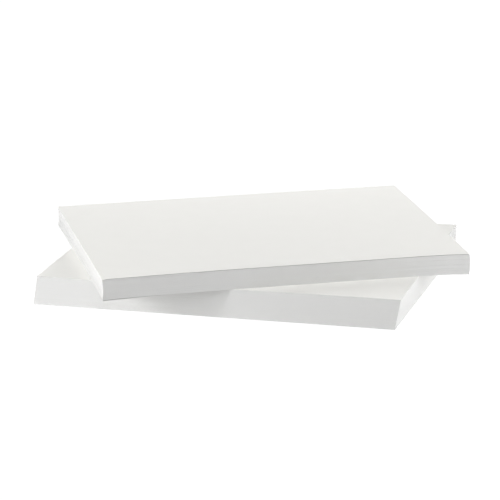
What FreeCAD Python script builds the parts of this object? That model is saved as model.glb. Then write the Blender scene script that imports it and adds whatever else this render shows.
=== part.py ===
import FreeCAD, Part

"""A ream of letter paper out of its wrapper, parted into two stacks that lie crosswise.

The lower stack stands on the table. The upper one lies on it, turned by some 27 degrees, so
that all its corners hang free. Loose sheets never lie quite flush: they move in lifts, the
handfuls that stay together when paper is carried and knocked square. Each lift is one pad of
the sheet's outline, shifted and turned by its own small amount, and the cut edges step from
lift to lift as they do on the real paper. The lower stack also leans and twists from its
bottom sheet to its top one. The upper stack's middle sheets have slid along, and its top
sheet stands proud of the front edge with a thin gap below it.

The frame has its origin at the centre of the lower stack's bottom sheet, on the table, with
+X along that sheet's long edge and +Z up. Sizes are in millimetres and degrees.
"""

import os

import Sketcher

OUT_FOLDER = "parts"

# Name, value and meaning of each driving size.
SIZES = (
    ("sheet_length", 279.4, "long edge of a letter sheet"),
    ("sheet_width", 215.9, "short edge of a letter sheet"),
    ("sheet_caliper", 0.074, "thickness of one sheet of light paper, about 60 g/m2"),
    ("lower_sheets", 295, "sheets in the lower stack"),
    ("upper_sheets", 205, "sheets in the upper stack"),
    ("lift_sheets", 10, "sheets in an average lift"),
    ("lift_unevenness", 0.3, "how far the end of a lift strays, as a share of a lift"),
    ("jog", 0.22, "how far a lift slides along either edge"),
    ("skew", 0.05, "how far a lift turns, in degrees"),
    ("lower_lean_x", 2.2, "shift of the lower stack's top sheet along its long edge"),
    ("lower_lean_y", 1.4, "shift of the lower stack's top sheet along its short edge"),
    ("lower_twist", 0.8, "turn of the lower stack's top sheet, in degrees"),
    ("crossing_angle", 27.1, "turn of the upper stack on the sheet below it, in degrees"),
    ("upper_shift_x", 1.0, "upper stack's centre from the centre of the sheet below it, along X"),
    ("upper_shift_y", 7.6, "upper stack's centre from the centre of the sheet below it, along Y"),
    ("upper_bow", 0.6, "slide of the upper stack's middle sheets along their long edge"),
    ("top_overhang", 0.4, "how far the upper stack's top sheet stands proud in front"),
    ("top_gap_height", 0.15, "height of the gap below that sheet"),
    ("top_gap_depth", 2.0, "depth of that gap behind the front edge of the sheets below"),
)

# Steps in degrees of the sines that spread the lifts' small moves, so that no two look alike.
LEVEL_STEP = 77.0
SLIDE_X_STEP = 99.7
SLIDE_Y_STEP = 161.3
SKEW_STEP = 74.9

# The bow is half a wave of a sine, from the bottom sheet to the top one.
BOW_SPAN = 180.0


def write_sizes(doc):
    """Puts the driving sizes in a spreadsheet, one named cell each."""
    cells = doc.addObject("Spreadsheet::Sheet", "Sizes")
    for row, (name, value, meaning) in enumerate(SIZES, start=1):
        cells.set(f"A{row}", name)
        cells.set(f"B{row}", str(value))
        cells.setAlias(f"B{row}", name)
        cells.set(f"C{row}", meaning)
    doc.recompute()
    return cells


def attached_sketch(body, name, role):
    """A new sketch of the body on its own origin plane of that role, such as XY_Plane."""
    plane = next(feature for feature in body.Origin.OriginFeatures if feature.Role == role)
    sketch = body.newObject("Sketcher::SketchObject", name)
    sketch.AttachmentSupport = (plane, [""])
    sketch.MapMode = "FlatFace"
    return sketch


def draw_rectangle(sketch, left, bottom, right, top):
    """Four joined lines, level and upright, near where they belong. Returns their indices."""
    corners = [
        FreeCAD.Vector(left, bottom, 0),
        FreeCAD.Vector(right, bottom, 0),
        FreeCAD.Vector(right, top, 0),
        FreeCAD.Vector(left, top, 0),
    ]
    sides = [
        sketch.addGeometry(Part.LineSegment(corners[i], corners[(i + 1) % 4]), False)
        for i in range(4)
    ]
    for i in range(4):
        sketch.addConstraint(Sketcher.Constraint("Coincident", sides[i], 2, sides[(i + 1) % 4], 1))
    for level in (sides[0], sides[2]):
        sketch.addConstraint(Sketcher.Constraint("Horizontal", level))
    for upright in (sides[1], sides[3]):
        sketch.addConstraint(Sketcher.Constraint("Vertical", upright))
    return sides


def bind(sketch, constraint, name, expression):
    """Adds a dimension to the sketch under a name, and ties it to an expression of the sizes."""
    sketch.addConstraint(constraint)
    index = sketch.ConstraintCount - 1
    sketch.renameConstraint(index, name)
    sketch.setExpression(f"Constraints.{name}", expression)


def sheet_outline(body, name, cells, move_x, move_y, height, turn):
    """A sketch of one sheet's outline, centred on the stack's axis and then moved and turned."""
    sketch = attached_sketch(body, name, "XY_Plane")
    half_length = cells.sheet_length / 2
    half_width = cells.sheet_width / 2
    sides = draw_rectangle(sketch, -half_length, -half_width, half_length, half_width)
    sketch.addConstraint(Sketcher.Constraint("Symmetric", sides[0], 1, sides[2], 1, -1, 1))
    bind(sketch, Sketcher.Constraint("Distance", sides[0], cells.sheet_length), "length",
         "Sizes.sheet_length")
    bind(sketch, Sketcher.Constraint("Distance", sides[1], cells.sheet_width), "width",
         "Sizes.sheet_width")
    sketch.AttachmentOffset = FreeCAD.Placement(
        FreeCAD.Vector(0, 0, 0), FreeCAD.Rotation(FreeCAD.Vector(0, 0, 1), 0)
    )
    sketch.setExpression("AttachmentOffset.Base.x", move_x)
    sketch.setExpression("AttachmentOffset.Base.y", move_y)
    sketch.setExpression("AttachmentOffset.Base.z", height)
    sketch.setExpression("AttachmentOffset.Rotation.Angle", turn)
    return sketch


def pad(body, name, sketch, thickness):
    """Builds the sketched outline upwards by an expression's thickness."""
    feature = body.newObject("PartDesign::Pad", name)
    feature.Profile = sketch
    feature.setExpression("Length", thickness)
    sketch.Visibility = False


def sheets_below(lift, lifts, sheets):
    """Expression for the number of sheets below a lift. That of number lifts is all of them."""
    if lift == 0:
        return "0"
    if lift == lifts:
        return sheets
    stray = f"Sizes.lift_unevenness * sin({lift * LEVEL_STEP:g} deg)"
    return f"round(Sizes.lift_sheets * ({lift} + {stray}))"


def stack_body(doc, label, cells, lifts, sheets, lean_x, lean_y, twist, bow):
    """One stack of lifts. The bottom one is at the stack's own origin, neither moved nor turned.

    lean_x, lean_y and twist are how far the top lift has moved and turned from the bottom one,
    and bow is how far the middle has slid along X. All are expressions, as sheets is.
    """
    body = doc.addObject("PartDesign::Body", label)
    body.Label = label
    for lift in range(lifts):
        share = lift / (lifts - 1)
        below = sheets_below(lift, lifts, sheets)
        above = sheets_below(lift + 1, lifts, sheets)
        slide_x = f"Sizes.jog * sin({lift * SLIDE_X_STEP:g} deg)"
        slide_y = f"Sizes.jog * sin({lift * SLIDE_Y_STEP:g} deg)"
        turn = f"Sizes.skew * sin({lift * SKEW_STEP:g} deg)"
        sketch = sheet_outline(
            body,
            f"{label}_outline_{lift + 1:02d}",
            cells,
            f"{share:.6f} * {lean_x} + {bow} * sin({share * BOW_SPAN:.4f} deg) + {slide_x}",
            f"{share:.6f} * {lean_y} + {slide_y}",
            f"Sizes.sheet_caliper * {below}",
            f"{share:.6f} * {twist} + {turn}",
        )
        pad(body, f"{label}_lift_{lift + 1:02d}", sketch,
            f"Sizes.sheet_caliper * ({above} - {below})")
    return body


def lower_stack(doc, cells):
    """The stack that stands on the table, leaning and twisting towards its top sheet."""
    lifts = int(cells.lower_sheets / cells.lift_sheets)
    return stack_body(doc, "lower_stack", cells, lifts, "Sizes.lower_sheets",
                      "Sizes.lower_lean_x", "Sizes.lower_lean_y", "Sizes.lower_twist", "0")


def upper_stack(doc, cells):
    """The stack that lies across the lower one, with its top sheet proud in front."""
    lifts = int(cells.upper_sheets / cells.lift_sheets)
    under_top_sheet = "(Sizes.upper_sheets - 1)"
    body = stack_body(doc, "upper_stack", cells, lifts, under_top_sheet,
                      "0", "0", "0", "Sizes.upper_bow")
    add_top_sheet(body, cells, under_top_sheet)
    cut_top_gap(body, cells, under_top_sheet)
    seat_on_lower_stack(body)
    return body


def add_top_sheet(body, cells, sheets_under_it):
    """The upper stack's last sheet, which stands proud of the front edge."""
    sketch = sheet_outline(body, "top_sheet_outline", cells, "0", "-Sizes.top_overhang",
                           f"Sizes.sheet_caliper * {sheets_under_it}", "0")
    pad(body, "top_sheet", sketch, "Sizes.sheet_caliper")


def cut_top_gap(body, cells, sheets_under_it):
    """The thin gap that runs the length of the front edge, right below the top sheet."""
    sketch = attached_sketch(body, "top_gap_section", "YZ_Plane")
    back = -cells.sheet_width / 2 + cells.top_gap_depth
    front = -cells.sheet_width / 2 - cells.top_gap_depth
    ceiling = cells.sheet_caliper * (cells.upper_sheets - 1)
    sides = draw_rectangle(sketch, front, ceiling - cells.top_gap_height, back, ceiling)
    origin = (-1, 1)
    height = Sketcher.Constraint("DistanceY", sides[1], 1, sides[1], 2, cells.top_gap_height)
    width = Sketcher.Constraint("DistanceX", sides[0], 1, sides[0], 2, 2 * cells.top_gap_depth)
    reach = Sketcher.Constraint("DistanceX", sides[1], 1, *origin, -back)
    level = Sketcher.Constraint("DistanceY", *origin, sides[1], 2, ceiling)
    bind(sketch, height, "height", "Sizes.top_gap_height")
    bind(sketch, width, "width", "2 * Sizes.top_gap_depth")
    bind(sketch, reach, "reach", "Sizes.sheet_width / 2 - Sizes.top_gap_depth")
    bind(sketch, level, "level", f"Sizes.sheet_caliper * {sheets_under_it}")
    gap = body.newObject("PartDesign::Pocket", "top_gap")
    gap.Profile = sketch
    gap.Type = "ThroughAll"
    gap.Midplane = True
    sketch.Visibility = False


def seat_on_lower_stack(body):
    """Lays the upper stack on the lower stack's top sheet, turned across it."""
    body.Placement = FreeCAD.Placement(
        FreeCAD.Vector(0, 0, 0), FreeCAD.Rotation(FreeCAD.Vector(0, 0, 1), 0)
    )
    body.setExpression("Placement.Base.x", "Sizes.lower_lean_x + Sizes.upper_shift_x")
    body.setExpression("Placement.Base.y", "Sizes.lower_lean_y + Sizes.upper_shift_y")
    body.setExpression("Placement.Base.z", "Sizes.lower_sheets * Sizes.sheet_caliper")
    body.setExpression("Placement.Rotation.Angle", "Sizes.lower_twist + Sizes.crossing_angle")


def check(doc, stacks):
    """Stops if a feature failed or a stack isn't one sound solid."""
    failed = [o.Name for o in doc.Objects if "Invalid" in o.State or "Error" in o.State]
    if failed:
        raise RuntimeError(f"these features failed: {failed}")
    for stack in stacks:
        if stack.Shape.isNull() or not stack.Shape.isValid() or len(stack.Shape.Solids) != 1:
            raise RuntimeError(f"{stack.Label} isn't one sound solid")


def main():
    """Builds the ream and writes one STEP file for each stack."""
    doc = FreeCAD.newDocument("ream")
    cells = write_sizes(doc)
    stacks = [lower_stack(doc, cells), upper_stack(doc, cells)]
    doc.recompute()
    check(doc, stacks)
    os.makedirs(OUT_FOLDER, exist_ok=True)
    for stack in stacks:
        stack.Shape.exportStep(os.path.join(OUT_FOLDER, f"{stack.Label}.step"))
        box = stack.Shape.BoundBox
        print(f"{stack.Label}: {box.XLength:.2f} x {box.YLength:.2f} x {box.ZLength:.3f} mm,"
              f" {stack.Shape.Volume / 1000:.1f} cm3, {len(stack.Shape.Faces)} faces")


main()
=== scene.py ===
"""Dresses a ream of white letter paper that lies parted in two stacks, one across the other.

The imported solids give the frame. Each of them is replaced by a closed skin with one ridge for
every sheet, so that the cut edges are what they are on real paper: hundreds of thin sheets,
a little out of line. Loose sheets also open into fine gaps, most of all where the upper
stack's corners hang free and sag.

The stacks' sizes are in millimetres. Meshes, finishes and the studio are in metres, and angles
are in degrees. Places on a sheet are shares of its length and width, measured from its middle.
"""

import logging
import math
from dataclasses import dataclass, field
from enum import Enum

import bmesh
import bpy
import numpy as np
from mathutils import Euler, Matrix, Vector

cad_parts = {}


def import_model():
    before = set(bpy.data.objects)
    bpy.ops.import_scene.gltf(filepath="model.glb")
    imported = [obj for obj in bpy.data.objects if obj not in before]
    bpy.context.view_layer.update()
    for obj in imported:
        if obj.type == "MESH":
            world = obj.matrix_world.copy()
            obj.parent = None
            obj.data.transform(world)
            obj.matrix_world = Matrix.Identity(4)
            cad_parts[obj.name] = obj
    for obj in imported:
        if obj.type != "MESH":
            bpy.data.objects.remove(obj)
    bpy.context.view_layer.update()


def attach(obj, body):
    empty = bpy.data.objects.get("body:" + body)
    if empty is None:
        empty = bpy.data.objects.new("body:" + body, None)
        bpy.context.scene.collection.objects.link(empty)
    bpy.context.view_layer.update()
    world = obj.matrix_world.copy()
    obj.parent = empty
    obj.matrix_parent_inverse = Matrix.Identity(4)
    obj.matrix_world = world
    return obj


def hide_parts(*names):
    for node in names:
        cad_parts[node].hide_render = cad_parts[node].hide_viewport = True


log = logging.getLogger("ream")

MM = 0.001
FRONT_LEFT = (-0.5, -0.5)
FRONT_RIGHT = (0.5, -0.5)
SHEET_NUMBER = "sheet_number"


class Surface(Enum):
    """Material slot of a face on a stack's skin."""

    SHEET = 0
    CUT_EDGE = 1


class Side(Enum):
    """Edge of a stack, in the order in which its outline runs."""

    FRONT = 0
    RIGHT = 1
    BACK = 2
    LEFT = 3


class Socket(Enum):
    """Kinds of socket that the node groups have."""

    VALUE = "NodeSocketFloat"
    VECTOR = "NodeSocketVector"


@dataclass(frozen=True)
class Sheet:
    """One sheet of the ream."""

    length: float = 279.4
    width: float = 215.9
    caliper: float = 0.074

    @property
    def sides(self) -> np.ndarray:
        """Length and width together."""
        return np.array([self.length, self.width])


@dataclass(frozen=True)
class Footprint:
    """Where one sheet lies, seen from above."""

    x: float
    y: float
    turn: float
    sheet: Sheet

    def reach_past(self, flat: np.ndarray) -> np.ndarray:
        """Measures how far places lie outside the sheet.

        Args:
            flat: the places' X and Y.

        Returns:
            One distance for each place, and zero for those on the sheet.
        """
        cos, sin = math.cos(math.radians(self.turn)), math.sin(math.radians(self.turn))
        local = (flat - np.array([self.x, self.y])) @ np.array([[cos, -sin], [sin, cos]])
        return np.linalg.norm(np.clip(np.abs(local) - self.sheet.sides / 2, 0.0, None), axis=1)


@dataclass(frozen=True)
class CornerRates:
    """A rate that differs from corner to corner of a sheet, and blends evenly between them."""

    front_left: float
    front_right: float
    back_left: float
    back_right: float

    def at(self, shares: np.ndarray) -> np.ndarray:
        """Reads the rate at places on the sheet.

        Args:
            shares: the places, as shares of the sheet.

        Returns:
            One rate for each place.
        """
        right, back = shares[:, 0] + 0.5, shares[:, 1] + 0.5
        front = self.front_left * (1 - right) + self.front_right * right
        behind = self.back_left * (1 - right) + self.back_right * right
        return front * (1 - back) + behind * back


@dataclass(frozen=True)
class Lifts:
    """How loose sheets have slid and turned: in handfuls, and each sheet a little by itself.

    The handfuls, or lifts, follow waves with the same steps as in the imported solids. They slide
    and turn by less, and the sheets of each shift evenly towards the place of the next.
    """

    sheets: int = 10
    slide: float = 0.04
    skew: float = 0.015
    slide_x_step: float = 99.7
    slide_y_step: float = 161.3
    skew_step: float = 74.9
    stray: float = 0.008

    def swing(self, total: int, size: float, step: float) -> np.ndarray:
        """Moves the lifts one way, and each sheet evenly between them.

        Args:
            total: sheets in the stack.
            size: how far the lifts move at most.
            step: angle from one lift to the next, in the wave that they follow.

        Returns:
            One move for each sheet.
        """
        lifts = np.arange(total // self.sheets + 1)
        return np.interp(np.arange(total) / self.sheets, lifts, size * np.sin(np.radians(lifts * step)))

    def moves(self, total: int, draws: np.random.Generator) -> np.ndarray:
        """Works out how far each sheet has slid and turned.

        Args:
            total: sheets in the stack.
            draws: random draws for the single sheets.

        Returns:
            A row for each sheet: slide along X and along Y, and turn in degrees.
        """
        moves = np.column_stack([
            self.swing(total, self.slide, self.slide_x_step),
            self.swing(total, self.slide, self.slide_y_step),
            self.swing(total, self.skew, self.skew_step),
        ])
        moves[1:, :2] += draws.normal(0.0, self.stray, (total - 1, 2))
        return moves


@dataclass(frozen=True)
class Gaps:
    """The fine gaps between some of the sheets, which show as dark lines on the cut edges.

    About one sheet in `every` has a gap right above it. Round the stack, the gap opens and shuts
    in waves that are `wander` long or longer, and it never shuts past `least`.
    """

    every: int = 7
    height: float = 0.02
    least: float = 0.004
    depth: float = 4.0
    wander: float = 45.0
    waves: int = 5

    def places(self, total: int, draws: np.random.Generator) -> list[int]:
        """Chooses which sheets have a gap right above them.

        Args:
            total: sheets in the stack.
            draws: random draws.

        Returns:
            Numbers of sheets, from the bottom up.
        """
        count = total // self.every
        strays = draws.integers(-self.every // 2, self.every // 2, count - 1)
        return sorted({int(k) for k in np.arange(1, count) * self.every + strays})

    def heights(self, along: np.ndarray, girth: float, draws: np.random.Generator) -> np.ndarray:
        """Works out how far one gap opens at each place round the stack.

        Args:
            along: distance of each place along the outline.
            girth: length of the whole outline.
            draws: random draws.

        Returns:
            The gap's height at each place.
        """
        most_turns = max(1, round(girth / self.wander))
        swing = np.zeros(len(along))
        for _ in range(self.waves):
            turns = draws.integers(1, most_turns + 1)
            swing += np.cos(2 * math.pi * (turns * along / girth + draws.random()))
        return self.height * np.clip(swing / self.waves, 0.0, None) + self.least


@dataclass(frozen=True)
class Parting:
    """A gap that is wide enough to be seen from a step away, as a dark line.

    Its middle is a place on the outline. It fades with the distance from there, and `side_fade`
    times as fast along the short edges.
    """

    sheet: int
    height: float
    middle: tuple[float, float]
    reach: float
    side_fade: float = 4.0

    def heights(self, shares: np.ndarray, sheet: Sheet) -> np.ndarray:
        """Works out how far the gap opens at each place round the stack.

        Args:
            shares: places round the outline, as shares of the sheet.
            sheet: the sheet.

        Returns:
            The gap's height at each place.
        """
        away = (shares - np.array(self.middle)) * sheet.sides * np.array([1.0, self.side_fade])
        near = np.clip(1 - np.linalg.norm(away, axis=1) / self.reach, 0.0, None)
        return self.height * near * near * (3 - 2 * near)


@dataclass(frozen=True)
class Corner:
    """A corner of the stack whose top sheets are bent down a little."""

    place: tuple[float, float]
    drop: float
    reach: float
    sheets: int

    def dip(self, shares: np.ndarray, sheet: Sheet, below_top: float) -> np.ndarray:
        """Works out how far places near the corner dip.

        Args:
            shares: places, as shares of the sheet.
            sheet: the sheet.
            below_top: number of sheets that lie above the places.

        Returns:
            One depth for each place.
        """
        away = np.linalg.norm((shares - np.array(self.place)) * sheet.sides, axis=1)
        near = np.clip(1 - away / self.reach, 0.0, None)
        return self.drop * near * near * max(0.0, 1 - below_top / self.sheets)


@dataclass(frozen=True)
class Cockle:
    """The faint waves of a sheet of paper that lies free."""

    height: float = 0.08
    lengths: tuple[float, ...] = (118.0, 83.0, 61.0, 47.0)
    heading_step: float = 67.0

    def rise(self, flat: np.ndarray) -> np.ndarray:
        """Works out how far the sheet rises at each place.

        Args:
            flat: the places' X and Y.

        Returns:
            One rise for each place, none below zero.
        """
        swing = np.zeros(len(flat))
        for wave, length in enumerate(self.lengths):
            heading = math.radians(self.heading_step * (wave + 1))
            across = flat @ np.array([math.cos(heading), math.sin(heading)])
            swing += np.sin(2 * math.pi * across / length + heading)
        return self.height * (swing / len(self.lengths) + 1) / 2


@dataclass
class Stack:
    """One stack of sheets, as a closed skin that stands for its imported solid.

    The stack leans, twists and bows as a whole, and each sheet has its own small move besides.
    Where the sheets fan apart, a share of the fan, `fan_in_gaps`, opens in the gaps, in uneven
    parts, and the rest is spread over all the sheets. The faces of the skin are counted in
    columns along a sheet's long and short edges, and crowd towards its corners.
    """

    name: str
    node: str
    slot: str
    total: int
    seed: int
    columns: tuple[int, int]
    lean: tuple[float, float] = (0.0, 0.0)
    twist: float = 0.0
    bow: float = 0.0
    place: tuple[float, float, float] = (0.0, 0.0, 0.0)
    turn: float = 0.0
    crowding: float = 0.8
    fan_in_gaps: float = 0.1
    uneven_fan: float = 0.7
    sheet: Sheet = Sheet()
    lifts: Lifts = Lifts()
    gaps: Gaps = Gaps()
    cockle: Cockle = Cockle()
    partings: tuple[Parting, ...] = ()
    corners: tuple[Corner, ...] = ()
    draws: np.random.Generator = field(init=False)
    moves: np.ndarray = field(init=False)

    def __post_init__(self) -> None:
        """Draws the stack's chances once, so that it comes out the same each run."""
        self.draws = np.random.default_rng(self.seed)
        self.moves = self.sheet_moves()

    def marks(self, count: int) -> np.ndarray:
        """Parts one side of a sheet, more finely near its ends.

        Args:
            count: number of parts.

        Returns:
            The ends of the parts, as shares of the side.
        """
        even = np.linspace(-1.0, 1.0, count + 1)
        crowded = (3 * even - even ** 3) / 2
        return ((1 - self.crowding) * even + self.crowding * crowded) / 2

    def outline(self) -> np.ndarray:
        """Parts the outline of a sheet.

        Returns:
            The places round it, as shares of the sheet, from its front left corner.
        """
        longs, shorts = (self.marks(count)[:-1] for count in self.columns)
        sides = {
            Side.FRONT: np.stack([longs, np.full_like(longs, -0.5)], 1),
            Side.RIGHT: np.stack([np.full_like(shorts, 0.5), shorts], 1),
            Side.BACK: np.stack([-longs, np.full_like(longs, 0.5)], 1),
            Side.LEFT: np.stack([np.full_like(shorts, -0.5), -shorts], 1),
        }
        return np.concatenate([sides[side] for side in Side])

    def sheet_moves(self) -> np.ndarray:
        """Works out how far each sheet has moved, with the stack's own lean, twist and bow.

        Returns:
            A row for each sheet: slide along X and along Y, and turn in degrees.
        """
        moves = self.lifts.moves(self.total, self.draws)
        share = np.linspace(0.0, 1.0, self.total)
        moves[:, 0] += share * self.lean[0] + self.bow * np.sin(math.pi * share)
        moves[:, 1] += share * self.lean[1]
        moves[:, 2] += share * self.twist
        return moves

    def spread(self, shares: np.ndarray, move: np.ndarray) -> np.ndarray:
        """Lays places of a sheet out in the row frame, seen from above.

        Args:
            shares: places, as shares of the sheet.
            move: the sheet's slide along X and along Y, and its turn.

        Returns:
            The places' X and Y.
        """
        flat = shares * self.sheet.sides
        for angle, shift in ((move[2], move[:2]), (self.turn, self.place[:2])):
            cos, sin = math.cos(math.radians(angle)), math.sin(math.radians(angle))
            flat = flat @ np.array([[cos, sin], [-sin, cos]]) + np.array(shift)
        return flat

    def sink(self, shares: np.ndarray, flat: np.ndarray) -> np.ndarray:
        """How far the bottom sheet lies below the stack's base at each place. Flat by default."""
        return np.zeros(len(flat))

    def fan(self, shares: np.ndarray, flat: np.ndarray) -> np.ndarray:
        """How far the loose sheets have opened at each place, over the whole thickness."""
        return np.zeros(len(flat))

    def top_rise(self, shares: np.ndarray, flat: np.ndarray) -> np.ndarray:
        """How far the top sheet lies above the one below it at each place."""
        return self.cockle.rise(flat) + self.gaps.least

    def dip(self, shares: np.ndarray, number: float) -> np.ndarray:
        """How far the bent corners dip at each place of the sheet with that number."""
        dips = [corner.dip(shares, self.sheet, self.total - number) for corner in self.corners]
        return sum(dips, np.zeros(len(shares)))

    def openings(self, shares: np.ndarray) -> dict[int, np.ndarray]:
        """Finds each gap's height round the stack, without its share of the fan.

        Args:
            shares: places round the outline, as shares of the sheet.

        Returns:
            The number of the sheet right below each gap, and the gap's heights.
        """
        flat = shares * self.sheet.sides
        steps = np.linalg.norm(np.roll(flat, -1, 0) - flat, axis=1)
        along = np.concatenate([[0.0], np.cumsum(steps)[:-1]])
        openings = {
            sheet: self.gaps.heights(along, float(steps.sum()), self.draws)
            for sheet in self.gaps.places(self.total, self.draws)
        }
        for parting in self.partings:
            base = openings.get(parting.sheet, np.full(len(shares), self.gaps.least))
            openings[parting.sheet] = base + parting.heights(shares, self.sheet)
        return openings

    def rows(self) -> tuple[list[np.ndarray], list[float]]:
        """Builds the rows of the skin's wall, from the bottom sheet to the top one.

        Returns:
            The rows' points as XYZ, and the sheet number that each row is at.
        """
        shares = self.outline()
        openings = self.openings(shares)
        # The gap below the top sheet is that sheet's own rise.
        under_top = self.total - 2
        openings.pop(under_top, None)
        # The sheets lie closer by what the gaps open, so the stack keeps its thickness.
        tightening = sum(openings.values()) / self.total
        # The parts of the fan that open in the gaps add up to one.
        parts = 1 + self.uneven_fan * (2 * self.draws.random(len(openings)) - 1)
        fan_parts = dict(zip(openings, parts / parts.sum()))
        inner = shares * (1 - 2 * self.gaps.depth / self.sheet.sides)
        opened = np.zeros(len(shares))
        fanned = 0.0
        rows: list[np.ndarray] = []
        numbers: list[float] = []
        for sheet in range(self.total):
            levels = [(shares, sheet, opened, fanned), (shares, sheet + 1, opened, fanned)]
            gap = openings.get(sheet, np.zeros(0))
            if sheet == under_top:
                gap = self.top_rise(shares, self.spread(shares, self.moves[sheet]))
            if len(gap):
                part = fan_parts.get(sheet, 0.0)
                levels.append((inner, sheet + 1, opened + gap / 2, fanned + part / 2))
                opened = opened + gap
                fanned += part
            for places, number, rise, fan_part in levels:
                flat = self.spread(places, self.moves[sheet])
                height = number * (self.sheet.caliper - tightening) + rise + self.place[2]
                fan_share = self.fan_in_gaps * fan_part + (1 - self.fan_in_gaps) * number / self.total
                height = height + fan_share * self.fan(places, flat) - self.sink(places, flat)
                rows.append(np.column_stack([flat, height - self.dip(places, number)]))
                numbers.append(number)
        return rows, numbers

    def close(self, skin: bmesh.types.BMesh, ring: list[bmesh.types.BMVert], up: bool) -> None:
        """Closes the skin with the bottom or the top sheet, as a grid that can sag.

        Args:
            skin: the skin so far.
            ring: the vertices of the first or the last row.
            up: whether it is the top sheet.
        """
        number = self.total if up else 0
        across, back = self.columns
        tag = skin.verts.layers.float[SHEET_NUMBER]
        grid = {self.ring_place(k): vertex for k, vertex in enumerate(ring)}
        longs, shorts = (self.marks(count)[1:-1] for count in self.columns)
        shares = np.array([(u, v) for u in longs for v in shorts])
        flat = self.spread(shares, self.moves[-1 if up else 0])
        heights = number * self.sheet.caliper + self.place[2] - self.sink(shares, flat)
        if up:
            heights += self.fan(shares, flat) + self.top_rise(shares, flat)
            heights -= self.dip(shares, number)
        places = [(i, j) for i in range(1, across) for j in range(1, back)]
        for place, point, height in zip(places, flat, heights):
            grid[place] = skin.verts.new(Vector((*point, height)) * MM)
            grid[place][tag] = number
        for i in range(across):
            for j in range(back):
                loop = [grid[i, j], grid[i + 1, j], grid[i + 1, j + 1], grid[i, j + 1]]
                made = skin.faces.new(loop if up else loop[::-1])
                made.smooth = True
                made.material_index = Surface.SHEET.value

    def ring_place(self, k: int) -> tuple[int, int]:
        """Finds a place of the outline in the grid of a whole sheet.

        Args:
            k: number of the place, from the front left corner.

        Returns:
            Its column along the long edge and along the short edge.
        """
        across, back = self.columns
        if k < across:
            return k, 0
        if k < across + back:
            return across, k - across
        if k < 2 * across + back:
            return 2 * across + back - k, back
        return 0, 2 * (across + back) - k

    def build(self, finishes: dict[Surface, bpy.types.Material]) -> bpy.types.Object:
        """Builds the skin as one closed mesh and sets it on the frame.

        Args:
            finishes: the material of each surface.

        Returns:
            The stack's object.
        """
        skin = bmesh.new()
        tag = skin.verts.layers.float.new(SHEET_NUMBER)
        rings = []
        for row, number in zip(*self.rows()):
            ring = [skin.verts.new(Vector(point) * MM) for point in row]
            for vertex in ring:
                vertex[tag] = number
            rings.append(ring)
        for lower, upper in zip(rings, rings[1:]):
            for k, vertex in enumerate(lower):
                after = (k + 1) % len(lower)
                wall = skin.faces.new((vertex, lower[after], upper[after], upper[k]))
                wall.material_index = Surface.CUT_EDGE.value
        for ring, up in ((rings[0], False), (rings[-1], True)):
            self.close(skin, ring, up)
            for k, vertex in enumerate(ring):
                skin.edges.get((vertex, ring[k - 1])).smooth = False
        mesh = bpy.data.meshes.new(self.name)
        skin.to_mesh(mesh)
        skin.free()
        for surface in Surface:
            mesh.materials.append(finishes[surface])
        piece = bpy.data.objects.new(self.name, mesh)
        bpy.context.scene.collection.objects.link(piece)
        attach(piece, "root")
        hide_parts(self.node)
        return piece


@dataclass
class LowerStack(Stack):
    """The stack that lies on the table, swollen a little where nothing lies on it."""

    cover: Footprint = field(kw_only=True)
    swell: float = 0.45
    swell_reach: float = 10.0
    free_from: float = 25.0

    def fan(self, shares: np.ndarray, flat: np.ndarray) -> np.ndarray:
        """The sheets part as soon as they come out from under the upper stack."""
        return self.swell * (1 - np.exp(-self.cover.reach_past(flat) / self.swell_reach))

    def top_rise(self, shares: np.ndarray, flat: np.ndarray) -> np.ndarray:
        """The top sheet waves only where the upper stack doesn't press on it."""
        free = np.clip(self.cover.reach_past(flat) / self.free_from, 0.0, 1.0)
        return self.cockle.rise(flat) * free * free + self.gaps.least


@dataclass
class UpperStack(Stack):
    """The stack that lies across the lower one, with its corners free.

    Where the sheets reach past their support they sag, and spring apart, by these rates times the
    square of how far they reach. The gap under the top sheet has one height at the left end of
    the front edge and another at the right end.
    """

    support: Footprint = field(kw_only=True)
    sag: CornerRates = CornerRates(
        front_left=1.02e-3, front_right=1.0e-3, back_left=4.0e-4, back_right=4.0e-4)
    spring: CornerRates = CornerRates(
        front_left=6.5e-4, front_right=3.1e-4, back_left=3.0e-4, back_right=3.0e-4)
    top_gap: tuple[float, float] = (0.14, 0.28)
    top_gap_depth: float = 6.0
    top_overhang: float = 0.12

    def sheet_moves(self) -> np.ndarray:
        """Lets the top sheet stand proud in front.

        Returns:
            A row for each sheet: slide along X and along Y, and turn in degrees.
        """
        moves = super().sheet_moves()
        moves[-1, 1] -= self.top_overhang
        return moves

    def sink(self, shares: np.ndarray, flat: np.ndarray) -> np.ndarray:
        """The sag of the bottom sheet where it hangs free."""
        return self.sag.at(shares) * self.support.reach_past(flat) ** 2

    def fan(self, shares: np.ndarray, flat: np.ndarray) -> np.ndarray:
        """The sheets part where they hang free, because the upper ones spring back by more."""
        return self.spring.at(shares) * self.support.reach_past(flat) ** 2

    def top_rise(self, shares: np.ndarray, flat: np.ndarray) -> np.ndarray:
        """Lets the top sheet also lift along its front edge.

        Args:
            shares: places, as shares of the sheet.
            flat: the same places' X and Y.

        Returns:
            How far the top sheet lies above the one below it at each place.
        """
        left, right = self.top_gap
        edge = left + (right - left) * (shares[:, 0] + 0.5)
        from_front = (shares[:, 1] + 0.5) * self.sheet.width
        return super().top_rise(shares, flat) + edge * np.exp(-from_front / self.top_gap_depth)


Value = float | tuple[float, ...] | bpy.types.NodeSocket


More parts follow.
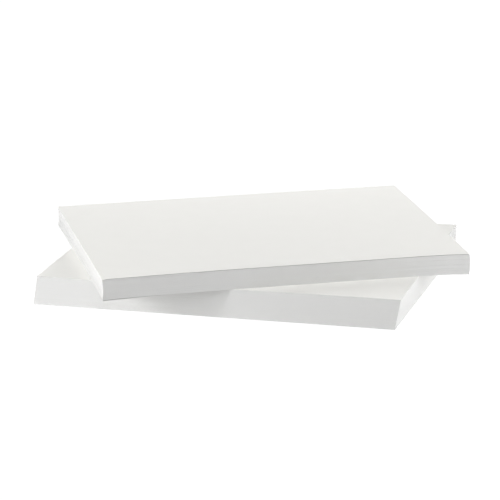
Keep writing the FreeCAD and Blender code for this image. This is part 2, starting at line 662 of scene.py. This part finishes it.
class Nodes:
    """Places and joins the nodes of one tree."""

    NOISE_SWING = 4.0

    def __init__(self, tree: bpy.types.NodeTree) -> None:
        """Takes the tree that the nodes go into."""
        self.tree = tree

    def add(self, kind: str, inputs: dict[str, Value] | None = None, **options: str) -> bpy.types.Node:
        """Places a node.

        Args:
            kind: the node's type.
            inputs: a value or an output socket for each named input.
            options: the node's own settings.

        Returns:
            The node.
        """
        node = self.tree.nodes.new(kind)
        for name, option in options.items():
            setattr(node, name, option)
        for name, value in (inputs or {}).items():
            self.feed(node.inputs[name], value)
        return node

    def feed(self, socket: bpy.types.NodeSocket, value: Value) -> None:
        """Links an output to a socket, or sets the socket's own value.

        Args:
            socket: the input socket.
            value: the output socket that feeds it, or its value.
        """
        if isinstance(value, bpy.types.NodeSocket):
            self.tree.links.new(value, socket)
        else:
            socket.default_value = value

    def math(self, operation: str, *values: Value) -> bpy.types.NodeSocket:
        """Works a number out of one, two or three others.

        Args:
            operation: what the node does, by its name in Blender.
            values: numbers or output sockets.

        Returns:
            The output socket.
        """
        node = self.add("ShaderNodeMath", operation=operation)
        for socket, value in zip(node.inputs, values):
            self.feed(socket, value)
        return node.outputs["Value"]

    def noise(self, place: Value, scale: Value, detail: float) -> bpy.types.NodeSocket:
        """Makes a noise that swings about zero, mostly between -1 and 1.

        Args:
            place: the vector that it is read at.
            scale: waves for each unit of the vector.
            detail: octaves of finer noise.

        Returns:
            The output socket.
        """
        inputs = {"Vector": place, "Scale": scale, "Detail": detail}
        node = self.add("ShaderNodeTexNoise", inputs)
        return self.math("MULTIPLY_ADD", node.outputs["Fac"], self.NOISE_SWING, -self.NOISE_SWING / 2)

    def group(self, tree: bpy.types.NodeTree, inputs: dict[str, Value]) -> bpy.types.Node:
        """Places a node group.

        Args:
            tree: the group.
            inputs: a value or an output socket for each named input.

        Returns:
            The node that holds the group.
        """
        node = self.tree.nodes.new("ShaderNodeGroup")
        node.node_tree = tree
        for name, value in inputs.items():
            self.feed(node.inputs[name], value)
        return node


def new_group(name: str, inputs: dict[str, Socket],
              outputs: dict[str, Socket]) -> tuple[Nodes, bpy.types.Node, bpy.types.Node]:
    """Starts a shader node group with named sockets.

    Args:
        name: the group's name.
        inputs: kind of each input.
        outputs: kind of each output.

    Returns:
        The group's nodes, its input node and its output node.
    """
    tree = bpy.data.node_groups.new(name, "ShaderNodeTree")
    for in_out, sockets in (("INPUT", inputs), ("OUTPUT", outputs)):
        for label, kind in sockets.items():
            tree.interface.new_socket(label, in_out=in_out, socket_type=kind.value)
    nodes = Nodes(tree)
    return nodes, nodes.add("NodeGroupInput"), nodes.add("NodeGroupOutput")


@dataclass(frozen=True)
class Fibres:
    """The cloudy look and the fine tooth that fibres give to paper, as a node group."""

    cloud_detail: float = 4.0
    tooth_detail: float = 2.0

    def build(self) -> bpy.types.NodeTree:
        """Builds the node group.

        Returns:
            The group. Its Cloud swings about zero, and its Tooth is a height.
        """
        inputs = {"Place": Socket.VECTOR, "Cloud size": Socket.VALUE, "Tooth size": Socket.VALUE}
        outputs = {"Cloud": Socket.VALUE, "Tooth": Socket.VALUE}
        nodes, given, result = new_group("paper_fibres", inputs, outputs)
        for name, detail in (("Cloud", self.cloud_detail), ("Tooth", self.tooth_detail)):
            scale = nodes.math("DIVIDE", 1.0, given.outputs[f"{name} size"])
            nodes.feed(result.inputs[name], nodes.noise(given.outputs["Place"], scale, detail))
        return nodes.tree


@dataclass(frozen=True)
class CutLines:
    """The lines of sheets on a cut edge, with faint marks of the blade, as a node group.

    The seams between the sheets get painted shade and a sunk relief, and the blade's relief is a share
    of the depth of the seams between the sheets.
    """

    streak_detail: float = 2.0
    seam_sharpness: float = 6.0
    blade_detail: float = 1.0
    blade_relief: float = 0.2

    def build(self) -> bpy.types.NodeTree:
        """Builds the node group.

        Returns:
            The group. Its Tone is a factor near one, and its Relief is a height.
        """
        inputs = {
            "Place": Socket.VECTOR, "Sheet number": Socket.VALUE,
            "Streak sheets": Socket.VALUE, "Streak length": Socket.VALUE,
            "Streak tone": Socket.VALUE, "Sheet tone": Socket.VALUE, "Seam shade": Socket.VALUE,
            "Blade size": Socket.VALUE, "Blade tone": Socket.VALUE,
        }
        outputs = {"Tone": Socket.VALUE, "Relief": Socket.VALUE}
        nodes, given, result = new_group("cut_lines", inputs, outputs)
        seam = self.seam(nodes, given)
        blade = self.blade(nodes, given)
        tone = nodes.math("MULTIPLY_ADD", self.streak(nodes, given), given.outputs["Streak tone"], 1.0)
        tone = nodes.math("MULTIPLY_ADD", self.sheet(nodes, given), given.outputs["Sheet tone"], tone)
        tone = nodes.math("MULTIPLY_ADD", blade, given.outputs["Blade tone"], tone)
        # Painted shade: the seams between the sheets are darkened by the seam shade.
        tone = nodes.math("SUBTRACT", tone, nodes.math("MULTIPLY", seam, given.outputs["Seam shade"]))
        relief = nodes.math("SUBTRACT", nodes.math("MULTIPLY", blade, self.blade_relief), seam)
        nodes.feed(result.inputs["Tone"], tone)
        nodes.feed(result.inputs["Relief"], relief)
        return nodes.tree

    def along(self, nodes: Nodes, given: bpy.types.Node, size: str) -> dict[str, Value]:
        """Measures a place's X and Y in a size.

        Args:
            nodes: the group's nodes.
            given: the group's input node.
            size: name of the input that holds the size.

        Returns:
            X and Y as output sockets.
        """
        axes = nodes.add("ShaderNodeSeparateXYZ", {"Vector": given.outputs["Place"]})
        return {axis: nodes.math("DIVIDE", axes.outputs[axis], given.outputs[size]) for axis in "XY"}

    def streak(self, nodes: Nodes, given: bpy.types.Node) -> bpy.types.NodeSocket:
        """Makes long streaks that are several sheets high.

        Args:
            nodes: the group's nodes.
            given: the group's input node.

        Returns:
            A tone that swings about zero.
        """
        place = self.along(nodes, given, "Streak length")
        place["Z"] = nodes.math("DIVIDE", given.outputs["Sheet number"], given.outputs["Streak sheets"])
        vector = nodes.add("ShaderNodeCombineXYZ", place).outputs["Vector"]
        return nodes.noise(vector, 1.0, self.streak_detail)

    def sheet(self, nodes: Nodes, given: bpy.types.Node) -> bpy.types.NodeSocket:
        """Gives each sheet a tone of its own.

        Args:
            nodes: the group's nodes.
            given: the group's input node.

        Returns:
            A tone between -1 and 1.
        """
        index = nodes.math("FLOOR", given.outputs["Sheet number"])
        own = nodes.add("ShaderNodeTexWhiteNoise", {"W": index}, noise_dimensions="1D")
        return nodes.math("MULTIPLY_ADD", own.outputs["Value"], 2.0, -1.0)

    def seam(self, nodes: Nodes, given: bpy.types.Node) -> bpy.types.NodeSocket:
        """Marks the seams between the sheets, where the painted shade and the sunk relief go.

        Args:
            nodes: the group's nodes.
            given: the group's input node.

        Returns:
            One at a seam, and nearly zero in the middle of a sheet.
        """
        across = nodes.math("FRACT", given.outputs["Sheet number"])
        from_middle = nodes.math("ABSOLUTE", nodes.math("SUBTRACT", across, 0.5))
        return nodes.math("POWER", nodes.math("MULTIPLY", from_middle, 2.0), self.seam_sharpness)

    def blade(self, nodes: Nodes, given: bpy.types.Node) -> bpy.types.NodeSocket:
        """Makes the marks that the blade left from the top sheet to the bottom one.

        Args:
            nodes: the group's nodes.
            given: the group's input node.

        Returns:
            A height that swings about zero.
        """
        vector = nodes.add("ShaderNodeCombineXYZ", self.along(nodes, given, "Blade size"))
        return nodes.noise(vector.outputs["Vector"], 1.0, self.blade_detail)


@dataclass(frozen=True)
class Effects:
    """The node groups that the finishes share."""

    fibres: bpy.types.NodeTree
    cut_lines: bpy.types.NodeTree


@dataclass(frozen=True)
class PaperFinish:
    """A matte finish of paper, with the cloudiness and the tooth of its fibres.

    Its relief is how far the surface stands out where the height of its bumps is one.
    """

    name: str
    colour: tuple[float, float, float]
    roughness: float
    relief: float
    cloud_size: float
    cloud_tone: float
    tooth_size: float

    def build(self, effects: Effects) -> bpy.types.Material:
        """Builds the material.

        Args:
            effects: the node groups of the finishes.

        Returns:
            The material.
        """
        material = bpy.data.materials.new(self.name)
        material.use_nodes = True
        nodes = Nodes(material.node_tree)
        shader = material.node_tree.nodes["Principled BSDF"]
        place = nodes.add("ShaderNodeTexCoord").outputs["Object"]
        paper = nodes.group(effects.fibres, {
            "Place": place, "Cloud size": self.cloud_size, "Tooth size": self.tooth_size,
        })
        cloud = nodes.math("MULTIPLY_ADD", paper.outputs["Cloud"], self.cloud_tone, 1.0)
        tone, height = self.detail(nodes, effects, place, cloud, paper.outputs["Tooth"])
        colour = nodes.add("ShaderNodeVectorMath", {"Vector": self.colour, "Scale": tone},
                           operation="SCALE")
        bump = nodes.add("ShaderNodeBump", {"Height": height, "Distance": self.relief})
        nodes.feed(shader.inputs["Base Color"], colour.outputs["Vector"])
        nodes.feed(shader.inputs["Roughness"], self.roughness)
        nodes.feed(shader.inputs["Normal"], bump.outputs["Normal"])
        return material

    def detail(self, nodes: Nodes, effects: Effects, place: Value, cloud: Value,
               tooth: Value) -> tuple[Value, Value]:
        """The finish's tone and height: the cloud and the tooth of the fibres alone."""
        return cloud, tooth


@dataclass(frozen=True)
class SheetFinish(PaperFinish):
    """The face of a sheet: warm white, with a faint cloudiness and tooth."""

    name: str = "sheet_face"
    colour: tuple[float, float, float] = (0.824, 0.819, 0.790)
    roughness: float = 0.85
    relief: float = 0.000004
    cloud_size: float = 0.014
    cloud_tone: float = 0.006
    tooth_size: float = 0.00018


@dataclass(frozen=True)
class CutEdgeFinish(PaperFinish):
    """The cut edge of a stack: neutral white darkened by painted shade, which stands for the fine steps
    and gaps between the sheets' edges, with a line for every sheet.
    """

    # Painted shade: this colour is darker than the sheet face's to stand for the shade among the sheets'
    # edges.
    colour: tuple[float, float, float] = (0.658, 0.658, 0.650)
    roughness: float = 0.9
    relief: float = 0.00001
    cloud_size: float = 0.02
    cloud_tone: float = 0.006
    tooth_size: float = 0.00012
    tooth_relief: float = 0.2
    streak_sheets: float = 9.0
    streak_length: float = 0.06
    streak_tone: float = 0.005
    sheet_tone: float = 0.03
    # Painted shade darkens the seams between the sheets by this much.
    seam_shade: float = 0.40
    blade_size: float = 0.0009
    blade_tone: float = 0.006

    def detail(self, nodes: Nodes, effects: Effects, place: Value, cloud: Value,
               tooth: Value) -> tuple[Value, Value]:
        """Adds the lines of the sheets.

        Args:
            nodes: the material's nodes.
            effects: the node groups of the finishes.
            place: the place on the surface.
            cloud: tone of the fibres.
            tooth: height of the fibres.

        Returns:
            The finish's tone and its height.
        """
        number = nodes.add("ShaderNodeAttribute", attribute_name=SHEET_NUMBER).outputs["Fac"]
        edge = nodes.group(effects.cut_lines, {
            "Place": place, "Sheet number": number,
            "Streak sheets": self.streak_sheets, "Streak length": self.streak_length,
            "Streak tone": self.streak_tone, "Sheet tone": self.sheet_tone,
            "Seam shade": self.seam_shade,
            "Blade size": self.blade_size, "Blade tone": self.blade_tone,
        })
        tone = nodes.math("MULTIPLY", edge.outputs["Tone"], cloud)
        return tone, nodes.math("MULTIPLY_ADD", tooth, self.tooth_relief, edge.outputs["Relief"])


@dataclass(frozen=True)
class Softbox:
    """A soft light, placed as the camera sees the ream: to its right, in front of it and up."""

    name: str
    right: float
    front: float
    up: float
    width: float
    height: float
    watts: float

    def hang(self, heading: float, target: Vector) -> None:
        """Hangs the light and turns it to the ream.

        Args:
            heading: the camera's turn about the ream.
            target: the point that it faces.
        """
        data = bpy.data.lights.new(self.name, "AREA")
        data.shape = "RECTANGLE"
        data.size = self.width
        data.size_y = self.height
        data.energy = self.watts
        lamp = bpy.data.objects.new(self.name, data)
        bpy.context.scene.collection.objects.link(lamp)
        turn = math.radians(heading)
        right = Vector((math.cos(turn), math.sin(turn), 0.0))
        front = Vector((math.sin(turn), -math.cos(turn), 0.0))
        lamp.location = right * self.right + front * self.front + Vector((0.0, 0.0, self.up))
        lamp.rotation_euler = (target - lamp.location).to_track_quat("-Z", "Y").to_euler()
        lamp.visible_camera = False


SOFTBOXES = (
    Softbox("key", right=-0.175, front=0.375, up=1.545, width=0.25, height=0.25, watts=7.9),
    Softbox("low_back", right=0.0, front=-1.2, up=0.35, width=1.6, height=0.5, watts=4.2),
    Softbox("back_strip", right=0.0, front=-0.5, up=0.35, width=0.8, height=0.25, watts=1.6),
    Softbox("left", right=-1.2, front=0.25, up=0.2, width=0.8, height=0.4, watts=5.5),
    Softbox("left_front", right=-0.6, front=0.45, up=0.15, width=0.5, height=0.3, watts=2.1),
    Softbox("left_low", right=-1.34, front=0.77, up=0.41, width=0.25, height=0.25, watts=3.0),
    Softbox("left_middle", right=-1.36, front=0.5, up=0.68, width=0.25, height=0.25, watts=3.6),
    Softbox("left_high", right=-1.135, front=0.655, up=0.92, width=0.25, height=0.25, watts=1.4),
    Softbox("right", right=0.7, front=0.1, up=0.15, width=0.7, height=0.3, watts=2.3),
    Softbox("right_front", right=0.6, front=0.45, up=0.15, width=0.5, height=0.3, watts=1.6),
    Softbox("right_middle", right=1.396, front=-0.197, up=0.75, width=0.2, height=0.25, watts=1.2),
    Softbox("right_high", right=1.396, front=-0.197, up=1.09, width=0.2, height=0.25, watts=2.1),
    Softbox("right_near", right=1.0, front=0.5, up=0.9, width=0.3, height=0.3, watts=1.4),
)


@dataclass(frozen=True)
class Studio:
    """A pale floor, soft lights and the camera.

    The floor gives off an even light, as a lit table does. The camera sees it nearly white, by a
    glow of its own that lights nothing.
    """

    floor_size: float = 24.0
    floor_grey: float = 0.3
    floor_light: float = 0.53
    floor_glow: float = 1.06
    glow_share: float = 0.95
    world_strength: float = 1.0
    aim_height: float = 0.02
    heading: float = 15.715
    pitch: float = 15.4965
    roll: float = -0.5825
    eye: tuple[float, float, float] = (0.57963, -2.05953, 0.61558)
    lens: float = 206.16
    sensor: float = 36.0
    sight: float = 40.0

    def build(self) -> None:
        """Builds everything that isn't part of the ream."""
        self.floor()
        self.world()
        for softbox in SOFTBOXES:
            softbox.hang(self.heading, Vector((0.0, 0.0, self.aim_height)))
        self.camera()

    def floor(self) -> None:
        """Lays the floor, which gives off an even light and looks nearly white to the camera."""
        half = self.floor_size / 2
        mesh = bpy.data.meshes.new("studio_floor")
        corners = [(-half, -half, 0), (half, -half, 0), (half, half, 0), (-half, half, 0)]
        mesh.from_pydata(corners, [], [(0, 1, 2, 3)])
        floor = bpy.data.objects.new("studio_floor", mesh)
        bpy.context.scene.collection.objects.link(floor)
        material = bpy.data.materials.new("pale_floor")
        material.use_nodes = True
        nodes = Nodes(material.node_tree)
        shader = material.node_tree.nodes["Principled BSDF"]
        nodes.feed(shader.inputs["Base Color"], (self.floor_grey, self.floor_grey, self.floor_grey, 1.0))
        nodes.feed(shader.inputs["Roughness"], 1.0)
        nodes.feed(shader.inputs["Emission Color"], (1.0, 1.0, 1.0, 1.0))
        nodes.feed(shader.inputs["Emission Strength"], self.floor_light)
        glow = nodes.add("ShaderNodeEmission", {"Strength": self.floor_glow})
        seen = nodes.add("ShaderNodeLightPath").outputs["Is Camera Ray"]
        mix = nodes.add("ShaderNodeMixShader", {"Fac": nodes.math("MULTIPLY", seen, self.glow_share)})
        nodes.feed(mix.inputs[1], shader.outputs["BSDF"])
        nodes.feed(mix.inputs[2], glow.outputs["Emission"])
        nodes.feed(material.node_tree.nodes["Material Output"].inputs["Surface"], mix.outputs["Shader"])
        mesh.materials.append(material)

    def world(self) -> None:
        """Makes what lies past the floor white to the camera, and dark to everything else."""
        world = bpy.data.worlds.new("studio")
        bpy.context.scene.world = world
        world.use_nodes = True
        nodes = Nodes(world.node_tree)
        background = world.node_tree.nodes["Background"]
        seen = nodes.add("ShaderNodeLightPath").outputs["Is Camera Ray"]
        nodes.feed(background.inputs["Color"], (1.0, 1.0, 1.0, 1.0))
        nodes.feed(background.inputs["Strength"], nodes.math("MULTIPLY", seen, self.world_strength))

    def camera(self) -> None:
        """Sets the camera where the photograph was taken from."""
        camera = bpy.data.cameras.new("camera")
        camera.sensor_width = self.sensor
        camera.lens = self.lens
        camera.clip_end = self.sight
        eye = bpy.data.objects.new("camera", camera)
        bpy.context.scene.collection.objects.link(eye)
        tilt = Euler((math.radians(90 - self.pitch), 0.0, math.radians(self.heading))).to_matrix()
        turned = tilt @ Matrix.Rotation(math.radians(self.roll), 3, "Z")
        eye.matrix_world = Matrix.Translation(Vector(self.eye)) @ turned.to_4x4()
        bpy.context.scene.camera = eye


@dataclass
class Ream:
    """The whole ream: how its sheets are parted, and how the two stacks lie."""

    lower_sheets: int = 295
    upper_sheets: int = 205
    lower_lean: tuple[float, float] = (2.2, 1.4)
    lower_twist: float = 0.8
    upper_shift: tuple[float, float] = (3.2, 9.0)
    upper_turn: float = 27.9
    upper_bow: float = 0.6
    dark_line_sheets: tuple[int, ...] = (41, 62, 102, 154)
    sheet: Sheet = Sheet()

    def build(self) -> list[bpy.types.Object]:
        """Builds both stacks with their finishes.

        Returns:
            The lower and the upper stack.
        """
        effects = Effects(fibres=Fibres().build(), cut_lines=CutLines().build())
        face = SheetFinish().build(effects)
        lower_edge = CutEdgeFinish("lower_cut_edge").build(effects)
        upper_edge = CutEdgeFinish("upper_cut_edge").build(effects)
        return [
            self.lower_stack().build({Surface.SHEET: face, Surface.CUT_EDGE: lower_edge}),
            self.upper_stack().build({Surface.SHEET: face, Surface.CUT_EDGE: upper_edge}),
        ]

    def lower_stack(self) -> LowerStack:
        """Describes the thicker stack, which lies on the table.

        Returns:
            The stack, with the upper one's footprint as its cover.
        """
        return LowerStack(
            name="lower_stack_paper", node="lower_stack", slot="lower_paper",
            total=self.lower_sheets, seed=11, columns=(40, 30), sheet=self.sheet,
            lean=self.lower_lean, twist=self.lower_twist,
            cover=Footprint(*self.upper_shift, self.upper_turn, self.sheet),
            corners=(Corner(FRONT_RIGHT, drop=0.35, reach=50.0, sheets=self.lower_sheets),),
        )

    def upper_stack(self) -> UpperStack:
        """Describes the thinner stack, which lies across the lower one.

        Returns:
            The stack, with the lower one's top sheet as its support.
        """
        dark_lines = tuple(
            Parting(sheet=sheet, height=0.04, middle=(0.46, -0.5), reach=110.0)
            for sheet in self.dark_line_sheets
        )
        return UpperStack(
            name="upper_stack_paper", node="upper_stack", slot="upper_paper",
            total=self.upper_sheets, seed=23, columns=(56, 44), sheet=self.sheet,
            bow=self.upper_bow,
            place=(*self.upper_shift, self.lower_sheets * self.sheet.caliper),
            turn=self.upper_turn,
            support=Footprint(*self.lower_lean, self.lower_twist, self.sheet),
            partings=(
                Parting(sheet=1, height=0.34, middle=FRONT_LEFT, reach=70.0),
                Parting(sheet=189, height=0.06, middle=(-0.38, -0.5), reach=60.0),
                *dark_lines,
            ),
            corners=(
                Corner(FRONT_LEFT, drop=0.7, reach=4.5, sheets=30),
                Corner(FRONT_RIGHT, drop=0.25, reach=3.0, sheets=20),
            ),
        )


def main() -> None:
    """Builds the ream and its studio, and reports each piece."""
    logging.basicConfig(level=logging.INFO, format="%(message)s")
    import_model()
    for piece in Ream().build():
        log.info("%s: %d faces", piece.name, len(piece.data.polygons))
    Studio().build()
    log.info("studio: %d lights", len(SOFTBOXES))
    bpy.context.scene.view_settings.view_transform = "Standard"


if __name__ == "__main__":
    main()
